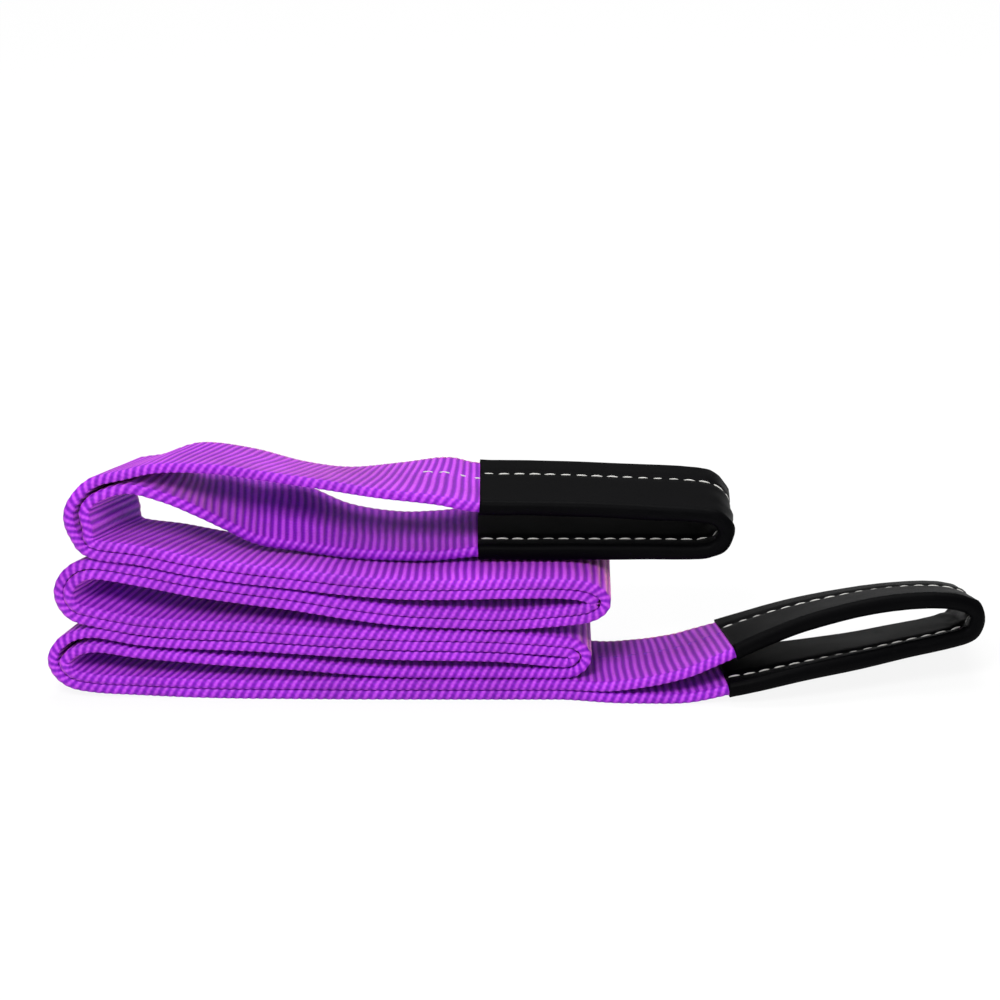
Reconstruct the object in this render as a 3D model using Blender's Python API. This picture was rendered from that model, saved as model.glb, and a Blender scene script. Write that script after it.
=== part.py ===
"""A duplex (two-ply) flat web sling, folded into a flat stack, with its two sleeved eyes lying to the right.

Metres, +Z up, +X to the right, +Y to the back. The web's width runs along Y. The stack rests on z = 0.
The web is one continuous length. It is modelled as one solid for each ply of each run and of each fold,
so that the hollows between the runs and inside the eyes stay open.
"""

import bpy
import numpy as np

MM = 0.001

# Driving dimensions
WEB_WIDTH = 0.030
PLY = 0.0025  # thickness of one ply of webbing
TOUCH = 0.0003  # gap that touching pieces keep
SLEEVE_WALL = 0.0006
SLEEVE_CLEARANCE = 0.0003  # between the web and the sleeve round it
TOP_EYE_HEIGHT = 0.0127  # between the web centres of the top eye's two legs
TOP_EYE_LIFT = 0.0006  # of the top eye's sleeve above the run that it lies on
TOP_EYE_SETBACK = 0.012  # how far the last run lies behind the stack
THREAD_WIDTH = 0.0009
THREAD_THICKNESS = 0.0004
WEB_SEAM = 0.003  # how far behind the web's middle the web's own seams run
OUTER_SEAM = 0.0055  # and the seam on a sleeve's outside
INNER_SEAM = -0.0095  # and the seam on its inside
ROUND_STEPS = 3  # sections for each stretch between two route points
TIP_SKEW = -0.0015  # how far the top eye's back edge lies to the left at the end of its tip

# Values that follow from the driving dimensions
DUPLEX = 2 * PLY + TOUCH
SLEEVE_GROWTH = SLEEVE_CLEARANCE + SLEEVE_WALL
LEG = PLY + 2 * SLEEVE_GROWTH

VIOLET = (0.27, 0.03, 0.60, 1.0)
BLACK = (0.012, 0.012, 0.014, 1.0)
WHITE = (0.85, 0.85, 0.83, 1.0)

# The stack, from the floor up. At each station along X, how far each run lies above the run below it
# beyond touching, in millimetres. Where it is more than nothing, the stack stands open.
STATIONS = (-106, -94, -81, -68, -55, -42, -29, -16, -3, 12)
OPENINGS = {
    "run_1": (1.5, 0.8, 0.2, 0.0, 0.0, 0.0, 0.0, 0.0, 0.0, 0.0),
    "run_2": (5.6, 4.6, 4.0, 3.2, 2.4, 1.2, 0.4, 0.2, 0.2, 0.2),
    "run_3": (0.6, 0.3, 0.2, 0.2, 0.2, 0.2, 0.2, 0.2, 0.2, 0.4),
    "run_4": (3.3, 3.8, 2.5, 1.6, 1.7, 1.3, 0.9, 0.8, 0.8, 3.0),
    "run_5": (0.6, 0.5, 0.4, 0.4, 0.7, 1.4, 2.1, 2.7, 3.4, 2.4),
}
# How far the two plies of a run stand apart beyond touching, in millimetres.
LOOSE = {"run_2": (1.4, 1.0, 1.2, 1.8, 1.8, 2.1, 2.2, 2.2, 1.8, 0.4)}
# How far the back edge lies above the front edge, in millimetres.
RISE = {
    "run_4": (-4.6, -4.6, -4.2, -3.4, -2.2, -1.1, -0.4, 0.0, 0.0, 0.0),
    "run_5": (-4.6, -4.6, -4.2, -3.4, -2.2, -1.1, -0.4, 0.0, 0.0, 0.0),
}
# How far the back edge lies to the right of the front edge, in every run, in millimetres.
SKEW = (12.0, 11.5, 11.0, 9.0, 7.0, 4.5, 2.5, 1.0, 0.0, 0.0)
# Front-to-back place of each run, in millimetres.
PLACE_Y = {"run_1": -0.5, "run_2": 0.4, "run_3": 0.0, "run_4": 0.4, "run_5": 0.0}
RUNS = ("run_1", "run_2", "run_3", "run_4", "run_5")
# How far each fold's middle line reaches past the last station, in millimetres.
FOLD_REACH = {"fold_1": -9.5, "fold_2": 5.2, "fold_3": -7.8, "fold_4": 10.4}

# The last run's two plies lie apart, and turn into run 5 at fold 5. Each row: x, height in millimetres,
# share of the setback, rise and skew. Free heights are above run 5's left end, the others above run 5.
FOLD_5_INNER = (
    (-107.2, 3.6, 0.03, -4.4, 12.0),
    (-107.8, 7.6, 0.10, -4.6, 12.0),
    (-104.6, 10.7, 0.22, -4.8, 11.8),
)
RUN_6_LOWER_FREE = (
    (-98, 12.0, 0.42, -5.2, 9.0),
    (-91, 9.8, 0.60, -3.4, 4.0),
    (-84, 6.1, 0.78, -1.6, 1.0),
    (-77, 3.6, 0.88, 2.2, 0.0),
)
RUN_6_LOWER_RESTING = (
    (-68, 2.4, 0.95, 4.8, 0.0),
    (-57, 1.1, 1.00, 5.2, 0.0),
    (-45, 0.5, 1.00, 1.4, 0.0),
    (-32, 0.4, 1.00, -0.2, 0.0),
    (-21, 0.7, 1.00, 0.0, 0.0),
)
RUN_6_UPPER = (
    (-20, 8.7, 1.00, -0.5, 3.0),
    (-34, 8.9, 1.00, -3.8, 6.5),
    (-48, 9.5, 1.00, -7.3, 7.5),
    (-61, 11.4, 1.00, -7.6, 8.5),
    (-75, 14.9, 0.88, -6.0, 10.0),
    (-89, 16.9, 0.67, -4.4, 11.5),
    (-98.5, 15.5, 0.42, -5.4, 12.0),
)
FOLD_5_OUTER = (
    (-106.0, 14.5, 0.24, -4.8, 12.0),
    (-110.6, 10.3, 0.14, -4.6, 12.0),
    (-112.1, 5.8, 0.08, -4.4, 12.0),
    (-110.6, 0.8, 0.03, -4.5, 12.0),
)

# The top eye lies level. Its legs run between these stations, and its tip reaches past the last.
TOP_EYE_STATIONS = (-10, 5, 20, 35, 48.5)
TOP_EYE_SAG = (0.0, 0.2, 0.7, 1.4, 2.2)  # how far the upper leg sinks at each station, in millimetres
TOP_EYE_TIP_REACH = 7.0

# The bottom eye climbs to the right and turns away. Each row: x, y, height in millimetres, rise, skew.
# Heights of the bare web are above its place in the flat run, and those of the sleeved lower leg above
# the floor. The upper leg's are above the place of run 1's upper ply.
THROAT_LOWER = (
    (24, -2.8, 0.1, 0.0, -1.0),
    (33, -3.4, 0.1, 0.0, -2.2),
    (44, -3.6, 0.4, 0.0, -3.4),
)
BOTTOM_LOWER_LEG = (
    (54.5, -3.6, 0.5, -1.2, -3.8),
    (62, -3.8, 1.4, -3.0, -4.2),
    (74, -2.2, 2.8, -5.2, -4.6),
    (88, 1.6, 3.7, -6.4, -5.0),
    (101, 5.2, 5.0, -7.2, -5.0),
    (112, 8.2, 6.2, -7.6, -4.6),
    (119.0, 10.2, 7.8, -7.4, -3.6),
)
BOTTOM_UPPER_LEG = (
    (121.4, 10.9, 10.5, -7.4, -3.0),
    (119.2, 10.6, 14.0, -7.6, -3.6),
    (112, 9.4, 15.9, -8.2, -4.6),
    (101, 7.8, 16.0, -8.6, -5.0),
    (88, 5.6, 14.8, -8.4, -5.0),
    (74, 3.2, 12.2, -7.6, -5.0),
    (62, 0.6, 9.0, -6.0, -4.8),
    (55.5, -1.2, 7.1, -4.6, -4.2),
)
THROAT_UPPER = (
    (50, -2.6, 5.6, -3.6, -4.2),
    (44.5, -3.5, 3.9, -2.6, -3.8),
    (38.5, -3.9, 2.6, -1.8, -3.2),
    (33, -3.8, 1.6, -1.2, -2.2),
    (24, -3.0, 0.4, -0.6, -1.0),
)


def smooth(rows, steps=ROUND_STEPS):
    """A Catmull-Rom curve through the rows, with a row at each original one."""
    rows = np.array(rows, float)
    ends = np.vstack([2 * rows[0] - rows[1], rows, 2 * rows[-1] - rows[-2]])
    out = []
    for i in range(1, len(ends) - 2):
        before, here, after, beyond = ends[i - 1 : i + 3]
        for t in np.arange(steps) / steps:
            out.append(
                here
                + (after - before) * t / 2
                + (2 * before - 5 * here + 4 * after - beyond) * t**2 / 2
                + (3 * here - before - 3 * after + beyond) * t**3 / 2
            )
    out.append(ends[-2])
    return np.array(out)


def path_of(rows):
    """A path from smooth rows of x, y, z, rise and skew: its middle, unit width and unit normal."""
    middle = rows[:, :3]
    rise = rows[:, 3]
    skew = rows[:, 4]
    depth = np.sqrt(WEB_WIDTH**2 - rise**2 - skew**2)
    width = np.stack([skew, depth, rise], axis=1) / WEB_WIDTH
    tangent = np.gradient(middle, axis=0)
    normal = np.cross(width, tangent)
    normal /= np.linalg.norm(normal, axis=1)[:, None]
    return np.hstack([middle, width, normal])


def offset(path, distance):
    """The path moved along its normals by a distance, or by one for each section."""
    moved = path.copy()
    moved[:, :3] += path[:, 6:] * np.reshape(distance, (-1, 1))
    return moved


def paint(obj, name, colour, roughness):
    material = bpy.data.materials.get(name) or bpy.data.materials.new(name)
    material.use_nodes = True
    shader = material.node_tree.nodes["Principled BSDF"]
    shader.inputs["Base Color"].default_value = colour
    shader.inputs["Roughness"].default_value = roughness
    shader.inputs["Metallic"].default_value = 0.0
    obj.data.materials.append(material)


def solid(name, rings, colour, roughness):
    """A closed solid through rings of points. Each ring is one loop, or an outer and an inner loop."""
    loops = rings.shape[1]
    count = rings.shape[2]
    points = rings.reshape(-1, 3)

    def index(section, loop, point):
        return (section * loops + loop) * count + point % count

    faces = []
    last = len(rings) - 1
    for section in range(last):
        for point in range(count):
            for loop in range(loops):
                a = index(section, loop, point)
                b = index(section, loop, point + 1)
                c = index(section + 1, loop, point + 1)
                d = index(section + 1, loop, point)
                for face in ([a, b, c], [a, c, d]):
                    faces.append(face if loop == 0 else face[::-1])
    for section in (0, last):
        if loops == 1:
            ends = [[index(section, 0, point) for point in range(count)][::-1]]
        else:
            corners = ((0, 0), (1, 0), (1, 1), (0, 1))
            ends = [[index(section, loop, point + step) for loop, step in corners] for point in range(count)]
        faces.extend(ends if section == 0 else [face[::-1] for face in ends])
    mesh = bpy.data.meshes.new(name)
    mesh.from_pydata([tuple(p) for p in points], [], faces)
    mesh.update()
    obj = bpy.data.objects.new(name, mesh)
    bpy.context.collection.objects.link(obj)
    paint(obj, name + "_finish", colour, roughness)
    return obj


def outline(path, width, thickness, across=0.0):
    """A rectangle's four corners round each section, optionally moved across the web."""
    middle, wide, normal = path[:, :3], path[:, 3:6], path[:, 6:]
    corners = []
    for side, face in ((-1, -1), (-1, 1), (1, 1), (1, -1)):
        corners.append(middle + wide * (across + side * width / 2) + normal * (face * thickness / 2))
    return np.stack(corners, axis=1)


def band(name, path, colour=VIOLET, roughness=0.75):
    """One ply of webbing along the path."""
    return solid(name, outline(path, WEB_WIDTH, PLY)[:, None], colour, roughness)


def sleeve(name, path):
    """A flat tube of black fabric round one ply."""
    outer = outline(path, WEB_WIDTH + 2 * SLEEVE_GROWTH, LEG)
    inner = outline(path, WEB_WIDTH + 2 * SLEEVE_CLEARANCE, PLY + 2 * SLEEVE_CLEARANCE)
    return solid(name, np.stack([outer, inner], axis=1), BLACK, 0.6)


def thread(name, path, distance, across, colour):
    """A seam's thread, on the face that lies at a distance from the web's middle."""
    away = abs(distance) + TOUCH + THREAD_THICKNESS / 2
    moved = offset(path, np.sign(distance) * away)
    rings = outline(moved, THREAD_WIDTH, THREAD_THICKNESS, across=across)
    return solid(name, rings[:, None], colour, 0.7)


def shorten(path, length):
    """The path with a length taken off each end."""
    short = path.copy()
    for first, second in ((0, 1), (-1, -2)):
        step = path[second] - path[first]
        short[first] += step * (length / np.linalg.norm(step[:3]))
    return short


def stack_rows():
    """Each run's middle line at the stations, from the bottom run up, and each run's top."""
    level = np.zeros(len(STATIONS))
    top = level
    rise_below = level
    lines = {}
    tops = {}
    for number, run in enumerate(RUNS):
        loose = np.array(LOOSE.get(run, level)) * MM
        rise = np.array(RISE.get(run, level)) * MM
        clear = TOUCH if number else 0.0
        bottom = top + clear + np.array(OPENINGS[run]) * MM + np.abs(rise - rise_below) / 2
        thickness = DUPLEX + loose
        rows = np.zeros((len(STATIONS), 6))
        rows[:, 0] = np.array(STATIONS) * MM
        rows[:, 1] = PLACE_Y[run] * MM
        rows[:, 2] = bottom + thickness / 2
        rows[:, 3] = rise
        rows[:, 4] = np.array(SKEW) * MM
        rows[:, 5] = (PLY + TOUCH + loose) / 2
        lines[run] = rows
        top = bottom + thickness
        rise_below = rise
        tops[run] = top
    return lines, tops


def fold_rows(low, high, reach):
    """Three rows round a fold, from the end of one run to the end of the next."""
    rows = []
    for turn in (45, 90, 135):
        share = (1 - np.cos(np.radians(turn))) / 2
        row = low + (high - low) * share
        row[0] += reach * np.sin(np.radians(turn))
        rows.append(row)
    return rows


def fold_5_heading(last, left_end):
    """A row past run 5's left end, between fold 5's two plies, which gives run 5 its heading there."""
    row = last.copy()
    row[0] = (FOLD_5_INNER[0][0] + FOLD_5_OUTER[-1][0]) / 2 * MM
    row[2] = left_end + (FOLD_5_INNER[0][1] + FOLD_5_OUTER[-1][1]) / 2 * MM
    return row


def add_runs_and_folds():
    """The duplex stack. Returns the stations' run tops and the routes of its two plies."""
    lines, tops = stack_rows()
    route = []
    pieces = []
    for number, run in enumerate(RUNS):
        rows = lines[run] if number % 2 else lines[run][::-1]
        first = len(route)
        route.extend(rows)
        pieces.append((run, first, len(route) - 1))
        if number < len(RUNS) - 1:
            fold = "fold_%d" % (number + 1)
            after = lines[RUNS[number + 1]]
            start = after[0] if number % 2 == 0 else after[-1]
            route.extend(fold_rows(rows[-1].copy(), start.copy(), FOLD_REACH[fold] * MM))
            pieces.append((fold, pieces[-1][2], len(route)))
    route.append(fold_5_heading(route[-1], tops["run_5"][0]))
    fine = smooth(route)
    middle_path = path_of(fine)
    left_of_travel = offset(middle_path, fine[:, 5])[:-ROUND_STEPS]
    right_of_travel = offset(middle_path, -fine[:, 5])[:-ROUND_STEPS]
    rise_and_skew = fine[:-ROUND_STEPS, 3:5]
    for name, first, last in pieces:
        window = slice(first * ROUND_STEPS, last * ROUND_STEPS + 1)
        gap = TOUCH / 2
        if name.startswith("run"):
            leftward = int(name[-1]) % 2 == 1
            names = ("upper", "lower") if leftward else ("lower", "upper")
        else:
            names = ("inner", "outer") if name in ("fold_1", "fold_3") else ("outer", "inner")
        band("%s_%s_ply" % (name, names[0]), shorten(left_of_travel[window], gap))
        band("%s_%s_ply" % (name, names[1]), shorten(right_of_travel[window], gap))
    left_rows = np.hstack([left_of_travel[:, :3], rise_and_skew])
    right_rows = np.hstack([right_of_travel[:, :3], rise_and_skew])
    return tops, left_rows, right_rows


def top_loop_rows(tops, upper_end, lower_end):
    """The last run, the top eye and fold 5 as one loop, and the marks between its pieces."""
    left_end = tops["run_5"][0]

    def free(rows):
        return [
            (x * MM, share * TOP_EYE_SETBACK, left_end + z * MM, rise * MM, skew * MM)
            for x, z, share, rise, skew in rows
        ]

    def resting(rows):
        stations = np.array(STATIONS) * MM
        out = []
        for x, gap, share, rise, skew in rows:
            below = np.interp(x * MM, stations, tops["run_5"])
            z = below + TOUCH + PLY / 2 + gap * MM + abs(rise) * MM / 2
            out.append((x * MM, share * TOP_EYE_SETBACK, z, rise * MM, skew * MM))
        return out

    lower_z = tops["run_5"][-1] + TOUCH + LEG / 2 + TOP_EYE_LIFT
    upper_z = lower_z + TOP_EYE_HEIGHT
    legs = [x * MM for x in TOP_EYE_STATIONS]
    tip = legs[-1]
    lower_leg = [(x, TOP_EYE_SETBACK, lower_z, 0.0, 0.0) for x in legs]
    upper_leg = [
        (x, TOP_EYE_SETBACK, upper_z - sag * MM, 0.0, 0.0) for x, sag in zip(legs, TOP_EYE_SAG)
    ]
    tip_height = upper_leg[-1][2] - lower_z
    bend = []
    for turn in (45, 90, 135):
        share = (1 - np.cos(np.radians(turn))) / 2
        x = tip + TOP_EYE_TIP_REACH * MM * np.sin(np.radians(turn))
        bend.append((x, TOP_EYE_SETBACK, lower_z + tip_height * share, 0.0, TIP_SKEW * share))
    return [
        ("lead_in", list(upper_end)),
        ("fold_5_inner_ply", free(FOLD_5_INNER)),
        ("run_6_lower_ply", free(RUN_6_LOWER_FREE) + resting(RUN_6_LOWER_RESTING)),
        ("top_eye_web", lower_leg + bend + upper_leg[::-1]),
        ("run_6_upper_ply", free(RUN_6_UPPER)),
        ("fold_5_outer_ply", free(FOLD_5_OUTER)),
        ("lead_out", list(lower_end)),
    ]


def bottom_loop_rows(lower_end, upper_end):
    """The bottom eye as one loop, from the lower ply of run 1 to its upper ply."""

    def placed(rows, ground):
        return [(x * MM, y * MM, ground + z * MM, rise * MM, skew * MM) for x, y, z, rise, skew in rows]

    low = PLY / 2
    under_sleeve = THREAD_THICKNESS + TOUCH + LEG / 2
    return [
        ("lead_in", list(lower_end)),
        ("throat_lower_ply", placed(THROAT_LOWER, low)),
        ("eye_lower", placed(BOTTOM_LOWER_LEG, under_sleeve)),
        ("eye_upper", placed(BOTTOM_UPPER_LEG, low + PLY + TOUCH)),
        ("throat_upper_ply", placed(THROAT_UPPER, low + PLY + TOUCH)),
        ("lead_out", list(upper_end)),
    ]


def loop_pieces(parts):
    """The loop as one smooth curve, and where each part's rows start on it, counted in route rows."""
    starts = {}
    rows = []
    for name, part in parts:
        starts[name] = len(rows)
        rows.extend(part)
    return path_of(smooth(rows)), starts


def cut(path, first, last):
    """The stretch of the path between two route rows, with half a gap taken off each end."""
    return shorten(path[first * ROUND_STEPS : last * ROUND_STEPS + 1], TOUCH / 2)


def add_eye(name, rows):
    """The web of an eye, its sleeve, and the two threads of the sleeve's seam."""
    band(name + "_web", rows)
    sleeve(name + "_sleeve", rows)
    covered = shorten(rows, THREAD_WIDTH)
    thread(name + "_sleeve_outer_thread", covered, LEG / 2, OUTER_SEAM, WHITE)
    thread(name + "_sleeve_inner_thread", covered, -LEG / 2, INNER_SEAM, WHITE)


def put_origin_under_the_middle():
    """Moves the meshes so that the origin is at the middle of the whole object's base."""
    meshes = [obj.data for obj in bpy.data.objects]
    points = [np.array([v.co for v in mesh.vertices]) for mesh in meshes]
    low = np.min([p.min(axis=0) for p in points], axis=0)
    high = np.max([p.max(axis=0) for p in points], axis=0)
    shift = np.array([(low[0] + high[0]) / 2, (low[1] + high[1]) / 2, low[2]])
    for mesh, old in zip(meshes, points):
        for vertex, place in zip(mesh.vertices, old):
            vertex.co = place - shift


def clear_scene():
    for obj in list(bpy.data.objects):
        bpy.data.objects.remove(obj, do_unlink=True)


def main():
    clear_scene()
    tops, left_ply, right_ply = add_runs_and_folds()

    step = ROUND_STEPS
    fine, at = loop_pieces(
        top_loop_rows(tops, left_ply[[-1 - step, -1]], right_ply[[-1, -1 - step]])
    )
    eye_end = at["run_6_upper_ply"] - 1
    fold_start = at["fold_5_outer_ply"] - 1
    band("fold_5_inner_ply", cut(fine, at["fold_5_inner_ply"] - 1, at["run_6_lower_ply"]))
    band("run_6_lower_ply", cut(fine, at["run_6_lower_ply"], at["top_eye_web"]))
    add_eye("top_eye", cut(fine, at["top_eye_web"], eye_end))
    band("run_6_upper_ply", cut(fine, eye_end, fold_start))
    band("fold_5_outer_ply", cut(fine, fold_start, at["lead_out"]))
    thread("top_seam_thread", cut(fine, eye_end, eye_end + 2), PLY / 2, WEB_SEAM, WHITE)

    fine, at = loop_pieces(bottom_loop_rows(right_ply[[step, 0]], left_ply[[0, step]]))
    eye_end = at["throat_upper_ply"] - 1
    band("throat_lower_ply", cut(fine, at["throat_lower_ply"] - 1, at["eye_lower"]))
    add_eye("bottom_eye", cut(fine, at["eye_lower"], eye_end))
    band("throat_upper_ply", cut(fine, eye_end, at["lead_out"]))
    thread("bottom_seam_thread", cut(fine, eye_end, at["lead_out"] - 1), PLY / 2, WEB_SEAM, VIOLET)
    put_origin_under_the_middle()


main()
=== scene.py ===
"""The finish of a folded duplex web sling: ribbed violet web, black wear sleeves and white seams."""
import math

import bpy
import numpy as np
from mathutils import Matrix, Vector, noise


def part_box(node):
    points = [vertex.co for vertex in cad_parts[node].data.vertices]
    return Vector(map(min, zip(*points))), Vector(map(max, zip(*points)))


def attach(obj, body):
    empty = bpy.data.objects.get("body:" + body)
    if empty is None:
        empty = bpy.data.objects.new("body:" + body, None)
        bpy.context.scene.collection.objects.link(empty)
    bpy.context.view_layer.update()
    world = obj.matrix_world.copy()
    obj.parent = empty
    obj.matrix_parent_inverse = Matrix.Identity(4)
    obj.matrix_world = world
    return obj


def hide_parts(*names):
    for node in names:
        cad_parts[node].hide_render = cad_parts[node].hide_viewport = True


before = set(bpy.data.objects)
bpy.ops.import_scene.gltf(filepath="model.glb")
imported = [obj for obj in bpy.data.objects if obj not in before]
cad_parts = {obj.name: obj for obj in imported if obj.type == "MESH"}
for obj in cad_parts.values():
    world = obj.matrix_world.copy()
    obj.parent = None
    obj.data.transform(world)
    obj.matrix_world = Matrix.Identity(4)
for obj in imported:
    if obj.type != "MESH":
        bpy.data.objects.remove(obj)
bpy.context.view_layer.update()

MM = 0.001

# ---------------------------------------------------------------- the route, as the CAD model has it
# Driving dimensions
WEB_WIDTH = 0.030
PLY = 0.0025  # thickness of one ply of webbing
TOUCH = 0.0003  # gap that touching pieces keep
SLEEVE_WALL = 0.0006
SLEEVE_CLEARANCE = 0.0003  # between the web and the sleeve round it
TOP_EYE_HEIGHT = 0.0127  # between the web centres of the top eye's two legs
TOP_EYE_LIFT = 0.0006  # of the top eye's sleeve above the run that it lies on
TOP_EYE_SETBACK = 0.012  # how far the last run lies behind the stack
THREAD_THICKNESS = 0.0004
WEB_SEAM = 0.003  # how far behind the web's middle the web's own seams run
OUTER_SEAM = 0.0055  # and the seam on a sleeve's outside
INNER_SEAM = -0.0095  # and the seam on its inside
TIP_SKEW = -0.0015  # how far the top eye's back edge lies to the left at the end of its tip

# Values that follow from the driving dimensions
DUPLEX = 2 * PLY + TOUCH
SLEEVE_GROWTH = SLEEVE_CLEARANCE + SLEEVE_WALL
LEG = PLY + 2 * SLEEVE_GROWTH

# The stack, from the floor up. At each station along X, how far each run lies above the run below it
# beyond touching, in millimetres. Where it is more than nothing, the stack stands open.
STATIONS = (-106, -94, -81, -68, -55, -42, -29, -16, -3, 12)
OPENINGS = {
    "run_1": (1.5, 0.8, 0.2, 0.0, 0.0, 0.0, 0.0, 0.0, 0.0, 0.0),
    "run_2": (5.6, 4.6, 4.0, 3.2, 2.4, 1.2, 0.4, 0.2, 0.2, 0.2),
    "run_3": (0.6, 0.3, 0.2, 0.2, 0.2, 0.2, 0.2, 0.2, 0.2, 0.4),
    "run_4": (3.3, 3.8, 2.5, 1.6, 1.7, 1.3, 0.9, 0.8, 0.8, 3.0),
    "run_5": (0.6, 0.5, 0.4, 0.4, 0.7, 1.4, 2.1, 2.7, 3.4, 2.4),
}
# How far the two plies of a run stand apart beyond touching, in millimetres.
LOOSE = {"run_2": (1.4, 1.0, 1.2, 1.8, 1.8, 2.1, 2.2, 2.2, 1.8, 0.4)}
# How far the back edge lies above the front edge, in millimetres.
RISE = {
    "run_4": (-4.6, -4.6, -4.2, -3.4, -2.2, -1.1, -0.4, 0.0, 0.0, 0.0),
    "run_5": (-4.6, -4.6, -4.2, -3.4, -2.2, -1.1, -0.4, 0.0, 0.0, 0.0),
}
# How far the back edge lies to the right of the front edge, in every run, in millimetres.
SKEW = (12.0, 11.5, 11.0, 9.0, 7.0, 4.5, 2.5, 1.0, 0.0, 0.0)
# Front-to-back place of each run, in millimetres.
PLACE_Y = {"run_1": -0.5, "run_2": 0.4, "run_3": 0.0, "run_4": 0.4, "run_5": 0.0}
RUNS = ("run_1", "run_2", "run_3", "run_4", "run_5")
# How far each fold's middle line reaches past the last station, in millimetres.
FOLD_REACH = {"fold_1": -9.5, "fold_2": 5.2, "fold_3": -7.8, "fold_4": 10.4}

# The last run's two plies lie apart, and turn into run 5 at fold 5. Each row: x, height in millimetres,
# share of the setback, rise and skew. Free heights are above run 5's left end, the others above run 5.
FOLD_5_INNER = (
    (-107.2, 3.6, 0.03, -4.4, 12.0),
    (-107.8, 7.6, 0.10, -4.6, 12.0),
    (-104.6, 10.7, 0.22, -4.8, 11.8),
)
RUN_6_LOWER_FREE = (
    (-98, 12.0, 0.42, -5.2, 9.0),
    (-91, 9.8, 0.60, -3.4, 4.0),
    (-84, 6.1, 0.78, -1.6, 1.0),
    (-77, 3.6, 0.88, 2.2, 0.0),
)
RUN_6_LOWER_RESTING = (
    (-68, 2.4, 0.95, 4.8, 0.0),
    (-57, 1.1, 1.00, 5.2, 0.0),
    (-45, 0.5, 1.00, 1.4, 0.0),
    (-32, 0.4, 1.00, -0.2, 0.0),
    (-21, 0.7, 1.00, 0.0, 0.0),
)
RUN_6_UPPER = (
    (-20, 8.7, 1.00, -0.5, 3.0),
    (-34, 8.9, 1.00, -3.8, 6.5),
    (-48, 9.5, 1.00, -7.3, 7.5),
    (-61, 11.4, 1.00, -7.6, 8.5),
    (-75, 14.9, 0.88, -6.0, 10.0),
    (-89, 16.9, 0.67, -4.4, 11.5),
    (-98.5, 15.5, 0.42, -5.4, 12.0),
)
FOLD_5_OUTER = (
    (-106.0, 14.5, 0.24, -4.8, 12.0),
    (-110.6, 10.3, 0.14, -4.6, 12.0),
    (-112.1, 5.8, 0.08, -4.4, 12.0),
    (-110.6, 0.8, 0.03, -4.5, 12.0),
)

# The top eye lies level. Its legs run between these stations, and its tip reaches past the last.
TOP_EYE_STATIONS = (-10, 5, 20, 35, 48.5)
TOP_EYE_SAG = (0.0, 0.2, 0.7, 1.4, 2.2)  # how far the upper leg sinks at each station, in millimetres
TOP_EYE_TIP_REACH = 7.0

# The bottom eye climbs to the right and turns away. Each row: x, y, height in millimetres, rise, skew.
# Heights of the bare web are above its place in the flat run, and those of the sleeved lower leg above
# the floor. The upper leg's are above the place of run 1's upper ply.
THROAT_LOWER = (
    (24, -2.8, 0.1, 0.0, -1.0),
    (33, -3.4, 0.1, 0.0, -2.2),
    (44, -3.6, 0.4, 0.0, -3.4),
)
BOTTOM_LOWER_LEG = (
    (54.5, -3.6, 0.5, -1.2, -3.8),
    (62, -3.8, 1.4, -3.0, -4.2),
    (74, -2.2, 2.8, -5.2, -4.6),
    (88, 1.6, 3.7, -6.4, -5.0),
    (101, 5.2, 5.0, -7.2, -5.0),
    (112, 8.2, 6.2, -7.6, -4.6),
    (119.0, 10.2, 7.8, -7.4, -3.6),
)
BOTTOM_UPPER_LEG = (
    (121.4, 10.9, 10.5, -7.4, -3.0),
    (119.2, 10.6, 14.0, -7.6, -3.6),
    (112, 9.4, 15.9, -8.2, -4.6),
    (101, 7.8, 16.0, -8.6, -5.0),
    (88, 5.6, 14.8, -8.4, -5.0),
    (74, 3.2, 12.2, -7.6, -5.0),
    (62, 0.6, 9.0, -6.0, -4.8),
    (55.5, -1.2, 7.1, -4.6, -4.2),
)
THROAT_UPPER = (
    (50, -2.6, 5.6, -3.6, -4.2),
    (44.5, -3.5, 3.9, -2.6, -3.8),
    (38.5, -3.9, 2.6, -1.8, -3.2),
    (33, -3.8, 1.6, -1.2, -2.2),
    (24, -3.0, 0.4, -0.6, -1.0),
)

# ---------------------------------------------------------------- sizes that only the looks have
RIB_PITCH = 2.07 * MM  # one weft rib of the web
RIB_HEIGHT = 0.32 * MM
RIB_PLUMPNESS = 0.7  # under 1 makes a rib broad and a groove narrow
RIB_CROWN = 0.75  # the share of a rib's height that lies inside the ply's thickness
EDGE_RELIEF = 0.38  # ribs are drawn tight where they turn round the web's edges
EDGE_SQUARENESS = 0.42  # 1 is a round edge, and less is squarer
PLUMP = 0.3 * MM  # how far a soft ply fills the gap that the CAD model leaves between two
WAVER = 0.22  # how far a rib strays from straight, in pitches
UNEVEN = 0.5  # how unlike each other the ribs' heights are
SECTIONS_PER_RIB = 8
FACE_POINTS = 10  # points across each face of a ply
WAVER_CELLS = (70, 90)  # noise cells for each metre, along and across the web
UNEVEN_CELLS = (480, 30)
DYE_PATCH = 18.1818 * MM  # patches that took more dye or less
FIBRE_SIZE = MM / 1.4  # coarser than real fibres, which are too fine to show
FIBRE_RELIEF = 0.08 * MM
WARP_PITCH = 0.75 * MM
SLEEVE_EDGE = 1.5 * MM  # how far in from its side a sleeve starts to round over
SLEEVE_STEP = 0.8 * MM
SEAM_DRAW = 1.5 * MM  # how wide the seam draws the sleeve in
SEAM_DEPTH = 0.2  # how deep, as a share of the sleeve's half thickness
SLEEVE_FACE_POINTS = 31
SLACK_CELLS = (60, 45)  # slack in the cloth: noise cells for each metre, along and across
SLACK_HEIGHT = 0.22 * MM
PUCKER_CELLS = (520, 60)  # puckers beside the seam
PUCKER_HEIGHT = 0.16 * MM
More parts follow.
